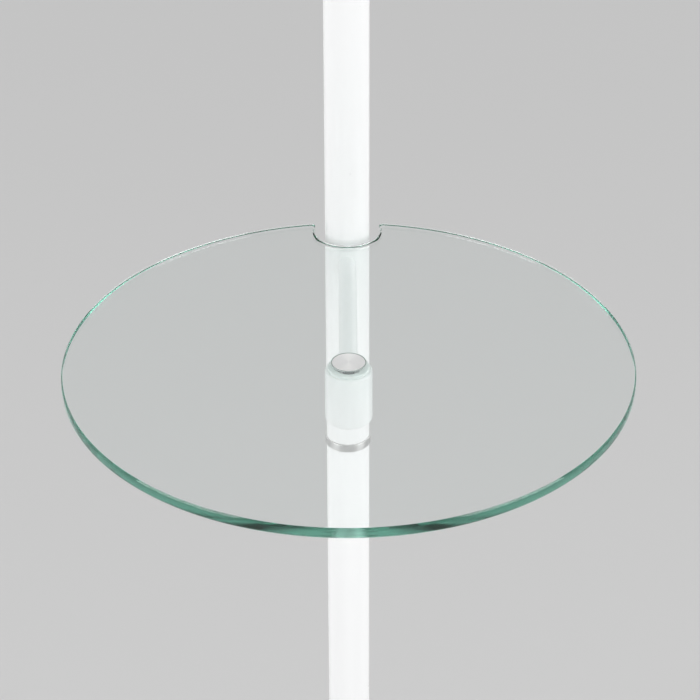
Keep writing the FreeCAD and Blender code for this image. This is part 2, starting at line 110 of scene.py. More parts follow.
class Finish:
    # a material, or the world, under construction
    def __init__(self, name, owner=None):
        self.material = owner or bpy.data.materials.new(name)
        self.material.use_nodes = True
        self.tree = self.material.node_tree
        self.tree.nodes.clear()
        self.place = None

    def node(self, kind, settings=None, sockets=None, out=0):
        made = self.tree.nodes.new(kind)
        for key, value in (settings or {}).items():
            setattr(made, key, value)
        for key, value in (sockets or {}).items():
            target = made.inputs[key]
            if isinstance(value, Wire):
                self.tree.links.new(value.socket, target)
            else:
                target.default_value = value
        return None if out is None else Wire(self, made.outputs[out])

    def where(self):
        # the point on the surface, in metres from the lamp's origin
        if self.place is None:
            self.place = self.node("ShaderNodeTexCoord", out="Object")
        return self.place

    def xyz(self):
        split = self.node("ShaderNodeSeparateXYZ", {}, {0: self.where()})
        return [Wire(self, output) for output in split.socket.node.outputs]

    def noise(self, scale, detail, roughness=0.5, point=None):
        sockets = {"Vector": point or self.where(), "Scale": scale, "Detail": detail, "Roughness": roughness}
        return self.node("ShaderNodeTexNoise", {}, sockets, out="Fac")

    def stretched(self, scales):
        # the surface point with each axis multiplied, for drawn-out grain
        return self.node("ShaderNodeVectorMath", {"operation": "MULTIPLY"}, {0: self.where(), 1: scales})

    def blend(self, amount, first, second):
        settings = {"data_type": "RGBA"}
        return self.node("ShaderNodeMix", settings, {0: amount, 6: first, 7: second}, out=2)

    def bump(self, height, strength, depth):
        sockets = {"Height": height, "Strength": strength, "Distance": depth}
        return self.node("ShaderNodeBump", {}, sockets)

    def shader(self, **sockets):
        named = {key.replace("_", " "): value for key, value in sockets.items()}
        return self.node("ShaderNodeBsdfPrincipled", {}, named)

    def done(self, surface, volume=None):
        kind = "World" if isinstance(self.material, bpy.types.World) else "Material"
        ends = {"Surface": surface}
        if volume is not None:
            ends["Volume"] = volume
        self.node("ShaderNodeOutput" + kind, {}, ends, out=None)
        return self.material


def grey(level):
    return (level, level, level, 1)


# In the finishes a scale of grain is a count to the metre.
enamel = {
    "pale": (0.915, 0.918, 0.92, 1),
    "dull": (0.895, 0.898, 0.902, 1),
    "roughness": 0.3,
    "coat": 0.25,
    "coatSpread": 0.1,
    "coatRoughness": 0.12,
    "cloud": 9,
    "peel": 900,            # ripple of the sprayed coat
    "peelDepth": 0.06 * mm,
    "peelBump": 0.12,
    "dust": 2600,
    "dustFrom": 0.68,       # only the peaks of the dust noise are specks
    "dustRoughness": 0.2,
    "rub": 60,
    "rubSpread": 0.12,      # roughness between the smooth and the rubbed places
}


def whiteEnamel():
    f = Finish("whiteEnamel")
    cloud = f.noise(enamel["cloud"], 3)
    peel = f.noise(enamel["peel"], 2, 0.6)
    dust = f.noise(enamel["dust"], 1)
    specks = (dust - enamel["dustFrom"]).atLeast(0) * 2
    rub = f.noise(enamel["rub"], 4, 0.7)
    return f.done(f.shader(
        Base_Color=f.blend(cloud, enamel["dull"], enamel["pale"]),
        Roughness=enamel["roughness"] + (rub - 0.5) * enamel["rubSpread"] + specks * enamel["dustRoughness"],
        Coat_Weight=enamel["coat"] + cloud * enamel["coatSpread"],
        Coat_Roughness=enamel["coatRoughness"],
        Normal=f.bump(peel, enamel["peelBump"], enamel["peelDepth"]),
    ))


glass = {
    "tint": (0.154, 0.603, 0.487, 1),
    "density": 7.8,
    "ior": 1.5,
    "lightThrough": 0.82,   # share of a lamp's light that one crossing lets by
    "edgeShadow": 0.95,     # share of that which the ground edges hold back
    "upright": 0.9,         # a face whose normal stands less upright is an edge
    "holeZone": 15 * mm,    # round the cap's centre
    "frost": 0.5,           # roughness that the drill leaves in the hole
    "smear": 14,
    "smearFrom": 0.62,
    "smearRoughness": 0.06,
}
cap = {
    "centre": (0, -141.6 * mm),
    "turns": 5200,          # facing cuts to the metre
    "chatter": 9000,
    "chatterAround": 0.6,
    "chatterShare": 0.45,   # of the tone; the painted highlight spokes give the rest
    # tones between which the chatter and the painted highlight spokes blend
    "light": 0.95,
    "dark": 0.8,
    "warm": 0.985,          # blue is this share of the light tone
    "roughness": 0.3,
    "roughnessSpread": 0.15,
    "bump": 0.15,
    "depth": 0.04 * mm,
}


def offCentre(finish):
    # how far a point lies from the cap's centre, along x and along y
    x, y = finish.xyz()[:2]
    return x - cap["centre"][0], y - cap["centre"][1]


def clearGlass():
    # Clear plate whose own depth gives the green at the edges; light passes to what stands below.
    f = Finish("clearGlass")
    smear = (f.noise(glass["smear"], 4, 0.6) - glass["smearFrom"]).atLeast(0) * glass["smearRoughness"]
    dx, dy = offCentre(f)
    outside = (dx * dx + dy * dy) > glass["holeZone"] ** 2
    normal = f.node("ShaderNodeNewGeometry", out="Normal")
    edge = f.node("ShaderNodeSeparateXYZ", {}, {0: normal}, out=2).size() < glass["upright"]
    body = f.shader(
        Base_Color=grey(1),
        Roughness=smear + edge * (1 - outside) * glass["frost"],
        IOR=glass["ior"],
        Transmission_Weight=1.0,
    )
    shadow = f.node("ShaderNodeLightPath", out="Is Shadow Ray")
    clear = f.node("ShaderNodeBsdfTransparent", {}, {0: grey(glass["lightThrough"])})
    share = shadow * (1 - edge * outside * glass["edgeShadow"])
    surface = f.node("ShaderNodeMixShader", {}, {0: share, 1: body, 2: clear})
    depth = f.node("ShaderNodeVolumeAbsorption", {}, {"Color": glass["tint"], "Density": glass["density"]})
    return f.done(surface, depth)


satin = {
    "grain": (120, 120, 9000),
    "wear": 160,
    "dark": (0.61, 0.61, 0.61, 1),
    "pale": (0.79, 0.785, 0.775, 1),
    "roughness": 0.24,
    "grainRoughness": 0.1,
    "wearRoughness": 0.05,
    "spread": 0.9,          # light spreads across the grain,
    "quarterTurn": 0.25,    # that is up and down the band
    "bump": 0.12,
    "depth": 0.08 * mm,
}


def brushedRing():
    # Satin steel with its grain round the pole.
    f = Finish("brushedRing")
    grain = f.noise(1.0, 4, 0.7, f.stretched(satin["grain"]))
    wear = f.noise(satin["wear"], 3)
    return f.done(f.shader(
        Base_Color=f.blend(grain, satin["dark"], satin["pale"]),
        Metallic=1.0,
        Roughness=satin["roughness"] + grain * satin["grainRoughness"] + wear * satin["wearRoughness"],
        Anisotropic=satin["spread"],
        Anisotropic_Rotation=satin["quarterTurn"],
        Normal=f.bump(grain, satin["bump"], satin["depth"]),
    ))


def spunCapWithPaintedSpokes():
    # Facing cuts in rings about the cap's centre; the pale spokes are a painted highlight, the reflection
    # that such a face shows, painted into the base colour by angle.
    f = Finish("spunCapWithPaintedSpokes")
    dx, dy = offCentre(f)
    radius = (dx * dx + dy * dy) ** 0.5
    angle = dy.angleTo(dx)
    rings = (radius * cap["turns"] * 2 * math.pi).sine()
    spread = {0: radius * cap["chatter"], 1: angle * cap["chatterAround"]}
    chatter = f.noise(1.0, 3, 0.7, f.node("ShaderNodeCombineXYZ", {}, spread))
    # painted highlight: pale spokes by angle in the base colour stand in for the reflection in the cut rings
    paintedSpokeHighlight = ((angle * 2 - math.pi / 2).sine() * 0.5 + 0.5) ** 3
    tone = (cap["chatterShare"] * chatter + (1 - cap["chatterShare"]) * paintedSpokeHighlight).atMost(1)
    light = (cap["light"], cap["light"], cap["warm"] * cap["light"], 1)
    return f.done(f.shader(
        Base_Color=f.blend(tone, grey(cap["dark"]), light),
        Metallic=1.0,
        Roughness=cap["roughness"] + chatter * cap["roughnessSpread"],
        Normal=f.bump(rings * 0.5 + chatter, cap["bump"], cap["depth"]),
    ))


rubber = {
    "clearPad": ((0.82, 0.86, 0.85, 1), (0.87, 0.9, 0.89, 1)),
    "inletRubber": ((0.74, 0.74, 0.73, 1), (0.82, 0.82, 0.81, 1)),
    "haze": 300,
    "roughness": 0.38,
    "roughnessSpread": 0.2,
    "ior": 1.43,
    "bump": 0.2,
    "depth": 0.1 * mm,
}


def softRubber(name):
    f = Finish(name)
    haze = f.noise(rubber["haze"], 3)
    return f.done(f.shader(
        Base_Color=f.blend(haze, *rubber[name]),
        Roughness=rubber["roughness"] + haze * rubber["roughnessSpread"],
        IOR=rubber["ior"],
        Normal=f.bump(haze, rubber["bump"], rubber["depth"]),
    ))


sleeve = {
    "lip": 0.35 * mm,
    "fade": 8000,           # the painted shade comes in over 1/8000 m
    # painted shade: the lip's dark tone
    "dark": (0.27, 0.31, 0.295, 1),
    "pale": (0.93, 0.96, 0.95, 1),
    "roughness": 0.4,
}


def sleeveWithPaintedShadeLip():
    # pale rubber whose cut lip, level with the glass, is painted dark: painted shade for the dark gap round
    # the cap
    f = Finish("sleeveWithPaintedShadeLip")
    haze = f.noise(rubber["haze"], 3)
    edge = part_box("hole_liner")[1].z - sleeve["lip"]
    # painted shade: above this height the lip is blended to the dark tone
    lip = ((f.xyz()[2] - edge) * sleeve["fade"]).atLeast(0).atMost(1)
    return f.done(f.shader(
        Base_Color=f.blend(lip, sleeve["pale"], sleeve["dark"]),
        Roughness=sleeve["roughness"] + haze * rubber["roughnessSpread"],
        Normal=f.bump(haze, rubber["bump"], rubber["depth"]),
    ))


zinc = {
    "spangle": 700,         # crystals of the plating
    "cloud": 90,
    "dark": (0.52, 0.53, 0.54, 1),
    "pale": (0.74, 0.75, 0.77, 1),
    "roughness": 0.28,
    "roughnessSpread": 0.2,
    "bump": 0.1,
    "depth": 0.05 * mm,
}


def zincSteel():
    f = Finish("zincSteel")
    sockets = {"Vector": f.where(), "Scale": zinc["spangle"]}
    spangle = f.node("ShaderNodeTexVoronoi", {}, sockets, out="Distance")
    cloud = f.noise(zinc["cloud"], 4)
    return f.done(f.shader(
        Base_Color=f.blend(cloud, zinc["dark"], zinc["pale"]),
        Metallic=1.0,
        Roughness=zinc["roughness"] + spangle * zinc["roughnessSpread"],
        Normal=f.bump(spangle, zinc["bump"], zinc["depth"]),
    ))


iron = {
    "sand": 700,
    "rust": 38,
    "rustFrom": 0.6,
    "rustGain": 4,
    "bare": (0.035, 0.036, 0.038, 1),
    "brown": (0.13, 0.06, 0.035, 1),
    "roughness": 0.62,
    "roughnessSpread": 0.25,
    "bump": 0.7,
    "metallic": 0.25,
    "depth": 0.5 * mm,
}


def castIron():
    f = Finish("castIron")
    sand = f.noise(iron["sand"], 5, 0.75)
    rust = (f.noise(iron["rust"], 5, 0.7) - iron["rustFrom"]).atLeast(0) * iron["rustGain"]
    return f.done(f.shader(
        Base_Color=f.blend(rust.atMost(1), iron["bare"], iron["brown"]),
        Roughness=iron["roughness"] + sand * iron["roughnessSpread"],
        Metallic=iron["metallic"],
        Normal=f.bump(sand, iron["bump"], iron["depth"]),
    ))


felt = {
    "fine": 2600,
    "coarse": 900,
    "dark": (0.012, 0.012, 0.013, 1),
    "pale": (0.045, 0.045, 0.048, 1),
    "roughness": 0.85,
    "roughnessSpread": 0.15,
    "bump": 0.8,
    "sheen": 0.4,
    "sheenRoughness": 0.5,
    "depth": 0.6 * mm,
}


def blackFelt():
    f = Finish("blackFelt")
    fine, coarse = felt["fine"], felt["coarse"]
    fibre = f.noise(1.0, 5, 0.8, f.stretched((coarse, fine, coarse)))
    cross = f.noise(1.0, 4, 0.8, f.stretched((fine, coarse, coarse)))
    nap = (fibre + cross) * 0.5
    return f.done(f.shader(
        Base_Color=f.blend(nap, felt["dark"], felt["pale"]),
        Roughness=felt["roughness"] + nap * felt["roughnessSpread"],
        Sheen_Weight=felt["sheen"],
        Sheen_Roughness=felt["sheenRoughness"],
        Normal=f.bump(nap, felt["bump"], felt["depth"]),
    ))


# each plastic's two tones, roughness and scale of spark grain
plastic = {
    "holderPlastic": ((0.8, 0.8, 0.79, 1), (0.85, 0.85, 0.84, 1), 0.34, 1400),
    "bulbBlack": ((0.012, 0.012, 0.012, 1), (0.02, 0.02, 0.021, 1), 0.12, 1400),
    "bulbCollar": ((0.84, 0.84, 0.83, 1), (0.88, 0.88, 0.87, 1), 0.2, 1400),
    "wireCoat": ((0.8, 0.8, 0.8, 1), (0.86, 0.86, 0.86, 1), 0.3, 2200),
    "shadeLining": ((0.86, 0.85, 0.82, 1), (0.9, 0.89, 0.86, 1), 0.42, 700),
    "flow": 26,
    "roughnessSpread": 0.14,
    "bump": 0.22,
    "depth": 0.09 * mm,
}


def mouldedPlastic(name):
    dark, pale, roughness, grain = plastic[name]
    f = Finish(name)
    spark = f.noise(grain, 2)
    flow = f.noise(plastic["flow"], 3)
    return f.done(f.shader(
        Base_Color=f.blend(flow, dark, pale),
        Roughness=roughness + spark * plastic["roughnessSpread"],
        Normal=f.bump(spark, plastic["bump"], plastic["depth"]),
    ))


brass = {
    "tarnish": 150,
    "rolled": (300, 300, 4200),
    "dull": (0.62, 0.42, 0.17, 1),
    "bright": (0.86, 0.66, 0.32, 1),
    "roughness": 0.22,
    "roughnessSpread": 0.22,
    "bump": 0.15,
    "depth": 0.06 * mm,
}


def brassSheet():
    f = Finish("brassSheet")
    tarnish = f.noise(brass["tarnish"], 4, 0.65)
    rolled = f.noise(1.0, 3, 0.6, f.stretched(brass["rolled"]))
    return f.done(f.shader(
        Base_Color=f.blend(tarnish, brass["dull"], brass["bright"]),
        Metallic=1.0,
        Roughness=brass["roughness"] + tarnish * brass["roughnessSpread"],
        Normal=f.bump(rolled, brass["bump"], brass["depth"]),
    ))


ceramic = {
    "grain": 1800,
    "dark": (0.7, 0.68, 0.63, 1),
    "pale": (0.86, 0.85, 0.81, 1),
    "roughness": 0.55,
    "roughnessSpread": 0.2,
    "bump": 0.35,
    "depth": 0.1 * mm,
}


def ceramicBody():
    f = Finish("ceramicBody")
    grain = f.noise(ceramic["grain"], 3)
    return f.done(f.shader(
        Base_Color=f.blend(grain, ceramic["dark"], ceramic["pale"]),
        Roughness=ceramic["roughness"] + grain * ceramic["roughnessSpread"],
        Normal=f.bump(grain, ceramic["bump"], ceramic["depth"]),
    ))


alloy = {
    "rolled": (260, 260, 6000),
    "dark": 0.66,
    "pale": 0.86,
    "roughness": 0.2,
    "roughnessSpread": 0.18,
    "bump": 0.15,
    "depth": 0.06 * mm,
}


def rolledAlloy():
    f = Finish("rolledAlloy")
    rolled = f.noise(1.0, 3, 0.65, f.stretched(alloy["rolled"]))
    return f.done(f.shader(
        Base_Color=f.blend(rolled, grey(alloy["dark"]), grey(alloy["pale"])),
        Metallic=1.0,
        Roughness=alloy["roughness"] + rolled * alloy["roughnessSpread"],
        Normal=f.bump(rolled, alloy["bump"], alloy["depth"]),
    ))


opal = {
    "milk": 22,
    "mist": 1600,
    "dark": (0.86, 0.85, 0.81, 1),
    "pale": (0.93, 0.92, 0.9, 1),
    "roughness": 0.32,
    "roughnessSpread": 0.12,
    "bump": 0.12,
    "glow": 0.15,           # share of the light that goes under the skin
    "glowDepth": 4 * mm,
    "depth": 0.05 * mm,
}


def opalGlobe():
    f = Finish("opalGlobe")
    milk = f.noise(opal["milk"], 3)
    mist = f.noise(opal["mist"], 2)
    return f.done(f.shader(
        Base_Color=f.blend(milk, opal["dark"], opal["pale"]),
        Roughness=opal["roughness"] + mist * opal["roughnessSpread"],
        Subsurface_Weight=opal["glow"],
        Subsurface_Scale=opal["glowDepth"],
        Normal=f.bump(mist, opal["bump"], opal["depth"]),
    ))


cloth = {
    "warp": 1.1 * mm,
    "weft": 1.3 * mm,
    "trim": 0.9 * mm,
    "wrap": 190 * mm,       # mean radius of the drum
    "along": 60,            # slubs are long one way
    "fine": 900,            # and thin the other
    "warpDrift": 1.6,       # how far yarns stray, in radians of the weave
    "weftDrift": 2.2,
    "weaveShare": 0.6,      # of the height; the slubs give the rest
    "pale": (0.83, 0.81, 0.765, 1),
    "shade": (0.6, 0.575, 0.53, 1),
    "roughness": 0.78,
    "roughnessSpread": 0.2,
    "bump": 0.55,
    "sheen": 0.25,
    "sheenRoughness": 0.6,
    "depth": 0.35 * mm,
}


def shadeCloth(name, warp, weft):
    # Plain weave laid round the drum: warp up the wall, weft round it, with slubs.
    f = Finish(name)
    x, y, z = f.xyz()
    radius = (x * x + y * y) ** 0.5
    around = y.angleTo(x) * cloth["wrap"]

    def yarns(detail, roughness, acrossScale, upScale):
        point = f.node("ShaderNodeCombineXYZ", {}, {0: around * acrossScale, 1: z * upScale, 2: radius})
        return f.noise(1.0, detail, roughness, point)

    slub = yarns(3, 0.6, cloth["along"], cloth["fine"])
    drift = yarns(2, 0.5, cloth["fine"], cloth["along"])
    up = (around * (2 * math.pi / warp) + (drift - 0.5) * cloth["warpDrift"]).sine()
    across = (z * (2 * math.pi / weft) + (slub - 0.5) * cloth["weftDrift"]).sine()
    over = up * across * 0.5 + 0.5
    height = over * cloth["weaveShare"] + slub * (1 - cloth["weaveShare"])
    return f.done(f.shader(
        Base_Color=f.blend(height, cloth["shade"], cloth["pale"]),
        Roughness=cloth["roughness"] + slub * cloth["roughnessSpread"],
        Sheen_Weight=cloth["sheen"],
        Sheen_Roughness=cloth["sheenRoughness"],
        Normal=f.bump(height, cloth["bump"], cloth["depth"]),
    ))


finishes = {
    "white_enamel": whiteEnamel(),
    "clear_glass": clearGlass(),
    "brushed_ring": brushedRing(),
    "spun_cap": spunCapWithPaintedSpokes(),
    "clear_pad": softRubber("clearPad"),
    "inlet_rubber": softRubber("inletRubber"),
    "zinc_steel": zincSteel(),
    "cast_weight": castIron(),
    "felt": blackFelt(),
    "holder_white": mouldedPlastic("holderPlastic"),
    "white_ceramic": ceramicBody(),
    "contact_brass": brassSheet(),
    "bulb_alloy": rolledAlloy(),
    "bulb_black": mouldedPlastic("bulbBlack"),
    "bulb_white": mouldedPlastic("bulbCollar"),
    "bulb_opal": opalGlobe(),
    "shade_cloth": shadeCloth("shadeCloth", cloth["warp"], cloth["weft"]),
    "shade_trim": shadeCloth("shadeTrim", cloth["trim"], cloth["trim"]),
    "white_wire": mouldedPlastic("wireCoat"),
}
slotOf = {entry["node"]: entry["material_slot"] for entry in frame["record"]["subparts"]}
for name, piece in nodes.items():
    piece.data.materials.clear()
    piece.data.materials.append(finishes[slotOf[name]])
print("finishes:", len(finishes))


def bodyOf(node):
    for body, members in frame["record"]["behaviour"]["bodies"].items():
        if node in members:
            return body


def inScene(name, data):
    thing = bpy.data.objects.new(name, data)
    bpy.context.scene.collection.objects.link(thing)
    return thing


def meshFrom(bm, name):
    mesh = bpy.data.meshes.new(name)
    bm.to_mesh(mesh)
    bm.free()
    return mesh


def addPiece(name, mesh, replaced, sharp=35, like=None):
    # puts a mesh in the scene in the place of CAD nodes, or beside the node that it is like
    piece = inScene(name, mesh)
    if sharp:
        mesh.shade_smooth()
        mesh.set_sharp_from_angle(angle=math.radians(sharp))
    owner = replaced[0] if replaced else like
    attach(piece, bodyOf(owner))
    if replaced:
        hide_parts(*replaced)
    slot = slotOf[owner]
    if not mesh.materials:
        mesh.materials.append(finishes[slot])
    return piece


tiny = 1e-6             # below this a length counts as none
mostOfSide = 0.48       # share of a side that one rounding may take
straight = 176          # degrees from which a corner counts as straight


def softened(corners, rounding=0, steps=4):
    # rounds the corners of a closed outline; a corner's third number is a rounding of its own
    result = []
    count = len(corners)
    for number, corner in enumerate(corners):
        here = Vector(corner[:2])
        back = Vector(corners[number - 1][:2]) - here
        onward = Vector(corners[(number + 1) % count][:2]) - here
        wanted = corner[2] if len(corner) > 2 else rounding
        size = min(wanted, mostOfSide * back.length, mostOfSide * onward.length)
        if here.x < tiny or size < tiny or back.angle(onward) > math.radians(straight):
            result.append((here.x, here.y))
            continue
        start = here + back.normalized() * size
        end = here + onward.normalized() * size
        for step in range(steps + 1):
            t = step / steps
            point = start.lerp(here, t).lerp(here.lerp(end, t), t)
            result.append((point.x, point.y))
    return result


def divided(outline, longest):
    # adds points so that no run of an outline is longer than asked
    result = []
    for first, second in zip(outline, outline[1:]):
        first, second = Vector(first), Vector(second)
        parts = max(1, math.ceil((second - first).length / longest))
        result += [tuple(first.lerp(second, part / parts)) for part in range(parts)]
    return result + [outline[-1]]


def lathe(name, outline, replaced, centre=(0, 0), segments=96, sharp=35, form=None, lay=None, whole=True):
    # turns an outline of (radius, height) points, in metres, about a vertical line;
    # form(angle, radius, height) gives the radius there, and lay is a matrix that places the result
    bm = bmesh.new()
    rows = []
    for r, z in outline:
        if r < tiny:
            rows.append([bm.verts.new((centre[0], centre[1], z))])
            continue
        row = []
        for step in range(segments):
            angle = 2 * math.pi * step / segments
            reach = form(angle, r, z) if form else r
            x, y = centre[0] + reach * math.cos(angle), centre[1] + reach * math.sin(angle)
            row.append(bm.verts.new((x, y, z)))
        rows.append(row)
    pairs = list(zip(rows, rows[1:]))
    if whole:
        pairs.append((rows[-1], rows[0]))
    for low, high in pairs:
        if len(low) == 1 and len(high) == 1:
            continue
        for step in range(segments):
            after = (step + 1) % segments
            if len(low) == 1:
                bm.faces.new((low[0], high[after], high[step]))
            elif len(high) == 1:
                bm.faces.new((low[step], low[after], high[0]))
            else:
                bm.faces.new((low[step], low[after], high[after], high[step]))
    bmesh.ops.recalc_face_normals(bm, faces=bm.faces)
    if lay:
        bm.transform(lay)
    return addPiece(name, meshFrom(bm, name), replaced, sharp)


def screwThread(pitch, depth, low, high, fade, sign=-1):
    # a round-crested thread between two heights that runs out softly at both ends
    def form(angle, r, z):
        run = min(1.0, max(0.0, (z - low) / fade), max(0.0, (high - z) / fade))
        wave = 0.5 + 0.5 * math.cos(2 * math.pi * (z / pitch) - angle)
        return r + sign * depth * (1 - wave) * run
    return form


def span(node):
    # (radius, lowest, highest, centre) of an upright round CAD node
    low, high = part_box(node)
    return (high.x - low.x) / 2, low.z, high.z, ((low.x + high.x) / 2, (low.y + high.y) / 2)


pole = {"wall": 1.2 * mm, "edge": 0.35 * mm, "segments": 128}


def tubePiece(node):
    low, high, centre = span(node)[1:]
    radius = (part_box(node)[1].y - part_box(node)[0].y) / 2
    inner = radius - pole["wall"]
    outline = softened([(inner, low), (radius, low), (radius, high), (inner, high)], pole["edge"])
    lathe(node + "_skin", outline, [node], centre, pole["segments"])


for node in ("lower_tube", "middle_tube", "upper_tube"):
    tubePiece(node)

ring = {"bevel": 0.15 * mm, "bore": 5.1 * mm, "bevelSteps": 5, "segments": 144}


def ringPiece(node):
    radius, low, high, centre = span(node)
    outline = softened([
        (ring["bore"], low),
        (radius, low, ring["bevel"]),
        (radius, high, ring["bevel"]),
        (ring["bore"], high),
    ], steps=ring["bevelSteps"])
    lathe(node + "_band", outline, [node], centre, ring["segments"])


for node in ("lower_joint_ring", "upper_joint_ring"):
    ringPiece(node)

print("pole: tubes and rings")


table = {
    "arris": 0.9 * mm,      # polished bevel
    "soft": 0.22 * mm,      # rounding of the bevel's own edges,
    "lean": 0.6,            # whose middle points lie at these shares of it
    "lift": 0.15,
    "notch": 18.7 * mm,
    "corner": 2.2 * mm,
    "discSteps": 360,
    "cornerSteps": 10,
    "notchSteps": 60,
    "holeSteps": 96,
    "holeTop": 9.25 * mm,   # countersunk hole
    "holeNeck": 5.75 * mm,
    "land": 0.6 * mm,       # straight part above the cone; the cap and its liner have the same
    "headDepth": 1.4 * mm,
    "level": 0.999,         # faces flatter than this are shaded flat
    "sharp": 30,            # degrees
}


def arcPoints(centre, radius, start, turn, steps):
    points = []
    for step in range(steps + 1):
        angle = start + turn * step / steps
        points.append((centre[0] + radius * math.cos(angle), centre[1] + radius * math.sin(angle)))
    return points


def glassOutline(radius, centreY, inset):
    # the plate's edge moved inwards by inset: the disc, a corner, the notch about the pole, a corner
    corner, steps = table["corner"], table["cornerSteps"]
    reachDisc = radius - corner
    reachNotch = table["notch"] + corner
    cornerY = (reachNotch ** 2 - reachDisc ** 2 + centreY ** 2) / (2 * centreY)
    cornerX = math.sqrt(reachNotch ** 2 - cornerY ** 2)
    discAngle = math.atan2(cornerY - centreY, cornerX)
    notchAngle = math.atan2(cornerY, cornerX)
    small, wide = corner - inset, table["notch"] + inset
    discTurn = -math.pi - 2 * discAngle
    cornerTurn = discAngle - notchAngle - math.pi
    notchTurn = math.pi + 2 * notchAngle
    points = arcPoints((0, centreY), radius - inset, discAngle, discTurn, table["discSteps"])
    points += arcPoints((-cornerX, cornerY), small, math.pi - discAngle, cornerTurn, steps)[1:]
    points += arcPoints((0, 0), wide, math.pi - notchAngle, notchTurn, table["notchSteps"])[1:]
    points += arcPoints((cornerX, cornerY), small, math.pi + notchAngle, cornerTurn, steps)[1:-1]
    return points


def ringOfFaces(bm, lower, upper):
    count = len(lower)
    for step in range(count):
        after = (step + 1) % count
        bm.faces.new((lower[step], lower[after], upper[after], upper[step]))


def glassPlate():
    low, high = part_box("glass_table")
    radius = (high.x - low.x) / 2
    centreY = low.y + radius
    bevel, soft = table["arris"], table["soft"]
    lean, lift = table["lean"] * soft, table["lift"] * soft
    profile = [
        (bevel + soft, low.z),
        (bevel - lean, low.z + lift),
        (lean, low.z + bevel - lean),
        (0, low.z + bevel + soft),
        (0, high.z - bevel - soft),
        (lean, high.z - bevel + lean),
        (bevel - lean, high.z - lift),
        (bevel + soft, high.z),
    ]
    hole = [
        (table["holeNeck"], low.z),
        (table["holeNeck"], high.z - table["headDepth"]),
        (table["holeTop"], high.z - table["land"]),
        (table["holeTop"], high.z),
    ]
    bm = bmesh.new()
    rims = []
    for inset, z in profile:
        rims.append([bm.verts.new((x, y, z)) for x, y in glassOutline(radius, centreY, inset)])
    holes = []
    for r, z in hole:
        circle = arcPoints((0, centreY), r, 0, 2 * math.pi, table["holeSteps"])[:-1]
        holes.append([bm.verts.new((x, y, z)) for x, y in circle])
    for rows in (rims, holes):
        for lower, upper in zip(rows, rows[1:]):
            ringOfFaces(bm, lower, upper)
    for face in bm.faces:
        face.smooth = True
    for outer, inner in ((rims[0], holes[0]), (rims[-1], holes[-1])):
        edges = []
        for row in (outer, inner):
            for first, second in zip(row, row[1:] + row[:1]):
                edges.append(bm.edges.get((first, second)))
        bmesh.ops.triangle_fill(bm, use_beauty=True, edges=edges)
    bmesh.ops.recalc_face_normals(bm, faces=bm.faces)
    for face in bm.faces:
        if abs(face.normal.z) > table["level"]:
            face.smooth = False
    for edge in bm.edges:
        if edge.calc_face_angle(0) > math.radians(table["sharp"]):
            edge.smooth = False
    addPiece("glass_plate", meshFrom(bm, "glass_plate"), ["glass_table"], 0)


post = {
    "rounding": 1.3 * mm,
    "mouth": 6.0 * mm,      # counterbore under the cap
    "mouthDepth": 2.2 * mm,
    "mouthEdge": 0.2 * mm,
    "roundingSteps": 6,
    "segments": 128,
}


def supportPost():
    radius, low, high, centre = span("support_post")
    mouth, floorLevel = post["mouth"], high - post["mouthDepth"]
    outline = softened([
        (0, low),
        (radius, low, post["rounding"]),
        (radius, high, post["rounding"]),
        (mouth, high, post["mouthEdge"]),
        (mouth, floorLevel),
        (0, floorLevel),
    ], steps=post["roundingSteps"])
    lathe("support_post_skin", outline, ["support_post"], centre, post["segments"])


capEdge = {"rounding": 0.18 * mm, "roundingSteps": 3, "neck": 5.2 * mm, "segments": 128}


def tableCap():
    radius, low, high, centre = span("table_cap")
    outline = softened([
        (0, low),
        (capEdge["neck"], low),
        (capEdge["neck"], high - table["headDepth"]),
        (radius, high - table["land"]),
        (radius, high),
        (0, high),
    ], capEdge["rounding"], capEdge["roundingSteps"])
    lathe("table_cap_face", outline, ["table_cap"], centre, capEdge["segments"])


glassPlate()
supportPost()
tableCap()
print("table: glass, post and cap")


arm = {"radius": 5 * mm, "gap": 0.1 * mm, "sides": 64}


def tableArm():
    # a round rod whose ends are hollowed to the pole and to the post
    tube = span("middle_tube")[0] + arm["gap"]
    stand = span("support_post")[0] + arm["gap"]
    centreY = span("support_post")[3][1]
    low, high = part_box("table_arm")
    level = (low.z + high.z) / 2
    bm = bmesh.new()
    near, far = [], []
    for step in range(arm["sides"]):
        angle = 2 * math.pi * step / arm["sides"]
        x = arm["radius"] * math.cos(angle)
        z = level + arm["radius"] * math.sin(angle)
        near.append(bm.verts.new((x, -math.sqrt(tube ** 2 - x ** 2), z)))
        far.append(bm.verts.new((x, centreY + math.sqrt(stand ** 2 - x ** 2), z)))
    ringOfFaces(bm, near, far)
    bm.faces.new(near)
    bm.faces.new(far)
    bmesh.ops.recalc_face_normals(bm, faces=bm.faces)
    addPiece("table_arm_rod", meshFrom(bm, "table_arm_rod"), ["table_arm"])


pad = {"bore": 7.8 * mm, "clear": 0.05 * mm, "rounding": 0.4 * mm, "segments": 96}


def glassPad():
    radius, low, high, centre = span("glass_pad")
    bore, top = pad["bore"], high - pad["clear"]
    outline = softened([(bore, low), (radius, low), (radius, top), (bore, top)], pad["rounding"])
    lathe("glass_pad_ring", outline, ["glass_pad"], centre, pad["segments"])


# distances that the liner's two faces stand off the cap, and its own edge
liner = {"outer": 0.45 * mm, "inner": 0.1 * mm, "rounding": 0.12 * mm, "roundingSteps": 2, "segments": 96}


def holeLiner():
    radius, low, high, centre = span("table_cap")
    faces = []
    for offset in (liner["outer"], liner["inner"]):
        faces.append([
            (capEdge["neck"] + offset, low),
            (capEdge["neck"] + offset, high - table["headDepth"]),
            (radius + offset, high - table["land"]),
            (radius + offset, high),
        ])
    outline = softened(faces[0] + faces[1][::-1], liner["rounding"], liner["roundingSteps"])
    cone = lathe("hole_liner_cone", outline, ["hole_liner"], centre, liner["segments"])
    cone.data.materials.clear()
    cone.data.materials.append(sleeveWithPaintedShadeLip())


tableArm()
glassPad()
holeLiner()
print("table: arm, pad and liner")


